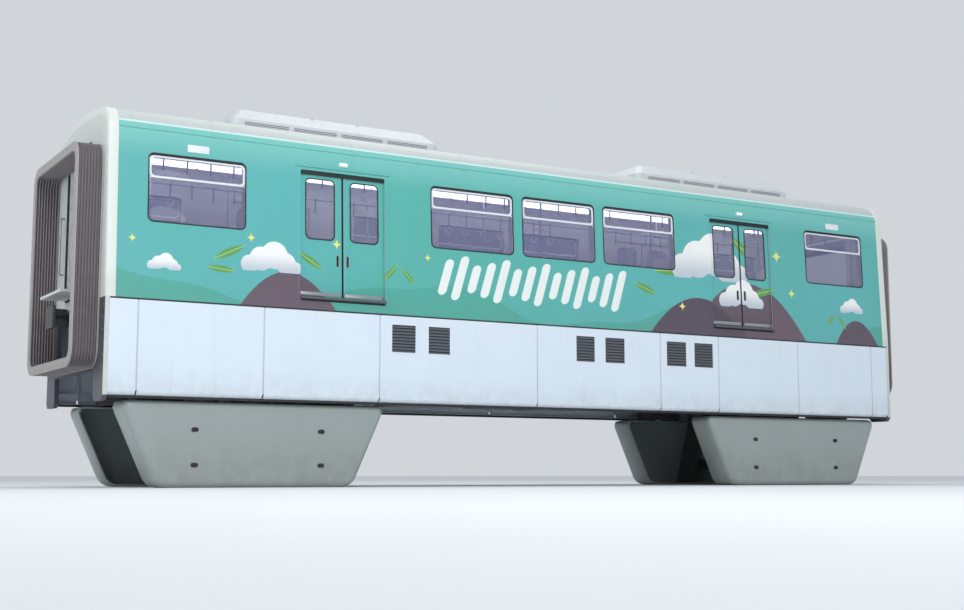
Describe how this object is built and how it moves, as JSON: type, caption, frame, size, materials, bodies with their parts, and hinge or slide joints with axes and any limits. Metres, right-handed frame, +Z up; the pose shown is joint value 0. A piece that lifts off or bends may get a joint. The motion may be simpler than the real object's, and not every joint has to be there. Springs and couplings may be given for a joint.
{
  "type": "straddle-beam monorail car, middle car of a train",
  "caption": "Middle car of a straddle-beam monorail train: hollow cabin with sliding doors on two rubber-tyred bogies that clasp the beam.",
  "frame": {"origin": "centre of the car on the level of the bogie covers' undersides", "axes": "+X to the front end, +Y to the left side, +Z up"},
  "size_m": [14.6, 2.98, 5.3],
  "materials": {
    "body_teal": "satin",
    "skirt_white": "satin",
    "end_cream": "satin",
    "roof_grey": "matt",
    "cover_grey": "satin",
    "bellows_grey": "matt",
    "frame_grey": "satin",
    "equipment_grey": "satin",
    "tyre_black": "matt",
    "window_glass": "polished",
    "seat_fabric": "woven"
  },
  "bodies": {
    "car_body": {"side_wall_right": "body_teal", "side_wall_left": "body_teal", "roof": "roof_grey", "floor": "equipment_grey", "end_wall_front": "end_cream", "gangway_bellows_front": "bellows_grey", "air_conditioner_front": "skirt_white", "coupler_front": "frame_grey", "bolster_front": "equipment_grey", "end_wall_rear": "end_cream", "gangway_bellows_rear": "bellows_grey", "air_conditioner_rear": "skirt_white", "coupler_rear": "frame_grey", "bolster_rear": "equipment_grey", "skirt_right": "skirt_white", "window_middle_right": "window_glass", "window_front_right": "window_glass", "window_rear_right": "window_glass", "seats_right": "seat_fabric", "skirt_left": "skirt_white", "window_middle_left": "window_glass", "window_front_left": "window_glass", "window_rear_left": "window_glass", "seats_left": "seat_fabric", "underfloor_equipment": "equipment_grey"},
    "bogie_front": {"bogie_frame_front": "frame_grey", "bogie_cover_front_right": "cover_grey", "bogie_cover_front_left": "cover_grey"},
    "running_axle_front_leading": {"running_axle_front_leading": "tyre_black"},
    "guide_wheel_front_leading_left": {"guide_wheel_front_leading_left": "tyre_black"},
    "guide_wheel_front_leading_right": {"guide_wheel_front_leading_right": "tyre_black"},
    "running_axle_front_trailing": {"running_axle_front_trailing": "tyre_black"},
    "guide_wheel_front_trailing_left": {"guide_wheel_front_trailing_left": "tyre_black"},
    "guide_wheel_front_trailing_right": {"guide_wheel_front_trailing_right": "tyre_black"},
    "stabilising_wheel_front_left": {"stabilising_wheel_front_left": "tyre_black"},
    "stabilising_wheel_front_right": {"stabilising_wheel_front_right": "tyre_black"},
    "bogie_rear": {"bogie_frame_rear": "frame_grey", "bogie_cover_rear_right": "cover_grey", "bogie_cover_rear_left": "cover_grey"},
    "running_axle_rear_leading": {"running_axle_rear_leading": "tyre_black"},
    "guide_wheel_rear_leading_left": {"guide_wheel_rear_leading_left": "tyre_black"},
    "guide_wheel_rear_leading_right": {"guide_wheel_rear_leading_right": "tyre_black"},
    "running_axle_rear_trailing": {"running_axle_rear_trailing": "tyre_black"},
    "guide_wheel_rear_trailing_left": {"guide_wheel_rear_trailing_left": "tyre_black"},
    "guide_wheel_rear_trailing_right": {"guide_wheel_rear_trailing_right": "tyre_black"},
    "stabilising_wheel_rear_left": {"stabilising_wheel_rear_left": "tyre_black"},
    "stabilising_wheel_rear_right": {"stabilising_wheel_rear_right": "tyre_black"},
    "door_front_right_forward": {"door_front_right_forward": "body_teal"},
    "door_front_right_rearward": {"door_front_right_rearward": "body_teal"},
    "door_front_left_forward": {"door_front_left_forward": "body_teal"},
    "door_front_left_rearward": {"door_front_left_rearward": "body_teal"},
    "door_rear_right_forward": {"door_rear_right_forward": "body_teal"},
    "door_rear_right_rearward": {"door_rear_right_rearward": "body_teal"},
    "door_rear_left_forward": {"door_rear_left_forward": "body_teal"},
    "door_rear_left_rearward": {"door_rear_left_rearward": "body_teal"}
  },
  "joints": [
    {"name": "yaw_front", "type": "hinge", "parent": "car_body", "child": "bogie_front", "pos_m": [4.8, 0, 1.91], "axis": [0, 0, 1], "range_deg": [-5, 5]},
    {"name": "roll_front_leading", "type": "hinge", "parent": "bogie_front", "child": "running_axle_front_leading", "pos_m": [5.55, 0, 1.963], "axis": [0, 1, 0], "continuous": true},
    {"name": "guide_front_leading_left", "type": "hinge", "parent": "bogie_front", "child": "guide_wheel_front_leading_left", "pos_m": [6.05, 0.79, 1.23], "axis": [0, 0, 1], "continuous": true},
    {"name": "guide_front_leading_right", "type": "hinge", "parent": "bogie_front", "child": "guide_wheel_front_leading_right", "pos_m": [6.05, -0.79, 1.23], "axis": [0, 0, 1], "continuous": true},
    {"name": "roll_front_trailing", "type": "hinge", "parent": "bogie_front", "child": "running_axle_front_trailing", "pos_m": [4.05, 0, 1.963], "axis": [0, 1, 0], "continuous": true},
    {"name": "guide_front_trailing_left", "type": "hinge", "parent": "bogie_front", "child": "guide_wheel_front_trailing_left", "pos_m": [3.55, 0.79, 1.23], "axis": [0, 0, 1], "continuous": true},
    {"name": "guide_front_trailing_right", "type": "hinge", "parent": "bogie_front", "child": "guide_wheel_front_trailing_right", "pos_m": [3.55, -0.79, 1.23], "axis": [0, 0, 1], "continuous": true},
    {"name": "stabilise_front_left", "type": "hinge", "parent": "bogie_front", "child": "stabilising_wheel_front_left", "pos_m": [4.8, 0.79, 0.35], "axis": [0, 0, 1], "continuous": true},
    {"name": "stabilise_front_right", "type": "hinge", "parent": "bogie_front", "child": "stabilising_wheel_front_right", "pos_m": [4.8, -0.79, 0.35], "axis": [0, 0, 1], "continuous": true},
    {"name": "yaw_rear", "type": "hinge", "parent": "car_body", "child": "bogie_rear", "pos_m": [-4.8, 0, 1.91], "axis": [0, 0, 1], "range_deg": [-5, 5]},
    {"name": "roll_rear_leading", "type": "hinge", "parent": "bogie_rear", "child": "running_axle_rear_leading", "pos_m": [-4.05, 0, 1.963], "axis": [0, 1, 0], "continuous": true},
    {"name": "guide_rear_leading_left", "type": "hinge", "parent": "bogie_rear", "child": "guide_wheel_rear_leading_left", "pos_m": [-3.55, 0.79, 1.23], "axis": [0, 0, 1], "continuous": true},
    {"name": "guide_rear_leading_right", "type": "hinge", "parent": "bogie_rear", "child": "guide_wheel_rear_leading_right", "pos_m": [-3.55, -0.79, 1.23], "axis": [0, 0, 1], "continuous": true},
    {"name": "roll_rear_trailing", "type": "hinge", "parent": "bogie_rear", "child": "running_axle_rear_trailing", "pos_m": [-5.55, 0, 1.963], "axis": [0, 1, 0], "continuous": true},
    {"name": "guide_rear_trailing_left", "type": "hinge", "parent": "bogie_rear", "child": "guide_wheel_rear_trailing_left", "pos_m": [-6.05, 0.79, 1.23], "axis": [0, 0, 1], "continuous": true},
    {"name": "guide_rear_trailing_right", "type": "hinge", "parent": "bogie_rear", "child": "guide_wheel_rear_trailing_right", "pos_m": [-6.05, -0.79, 1.23], "axis": [0, 0, 1], "continuous": true},
    {"name": "stabilise_rear_left", "type": "hinge", "parent": "bogie_rear", "child": "stabilising_wheel_rear_left", "pos_m": [-4.8, 0.79, 0.35], "axis": [0, 0, 1], "continuous": true},
    {"name": "stabilise_rear_right", "type": "hinge", "parent": "bogie_rear", "child": "stabilising_wheel_rear_right", "pos_m": [-4.8, -0.79, 0.35], "axis": [0, 0, 1], "continuous": true},
    {"name": "open_front_right_forward", "type": "slide", "parent": "car_body", "child": "door_front_right_forward", "axis": [1, 0, 0], "range_m": [0, 0.64]},
    {"name": "open_front_right_rearward", "type": "slide", "parent": "car_body", "child": "door_front_right_rearward", "axis": [-1, 0, 0], "range_m": [0, 0.64]},
    {"name": "open_front_left_forward", "type": "slide", "parent": "car_body", "child": "door_front_left_forward", "axis": [1, 0, 0], "range_m": [0, 0.64]},
    {"name": "open_front_left_rearward", "type": "slide", "parent": "car_body", "child": "door_front_left_rearward", "axis": [-1, 0, 0], "range_m": [0, 0.64]},
    {"name": "open_rear_right_forward", "type": "slide", "parent": "car_body", "child": "door_rear_right_forward", "axis": [1, 0, 0], "range_m": [0, 0.64]},
    {"name": "open_rear_right_rearward", "type": "slide", "parent": "car_body", "child": "door_rear_right_rearward", "axis": [-1, 0, 0], "range_m": [0, 0.64]},
    {"name": "open_rear_left_forward", "type": "slide", "parent": "car_body", "child": "door_rear_left_forward", "axis": [1, 0, 0], "range_m": [0, 0.64]},
    {"name": "open_rear_left_rearward", "type": "slide", "parent": "car_body", "child": "door_rear_left_rearward", "axis": [-1, 0, 0], "range_m": [0, 0.64]}
  ],
  "couplings": [
    {"joint": "open_front_right_rearward", "follows": "open_front_right_forward", "ratio": 1},
    {"joint": "open_front_left_rearward", "follows": "open_front_left_forward", "ratio": 1},
    {"joint": "open_rear_right_rearward", "follows": "open_rear_right_forward", "ratio": 1},
    {"joint": "open_rear_left_rearward", "follows": "open_rear_left_forward", "ratio": 1}
  ]
}
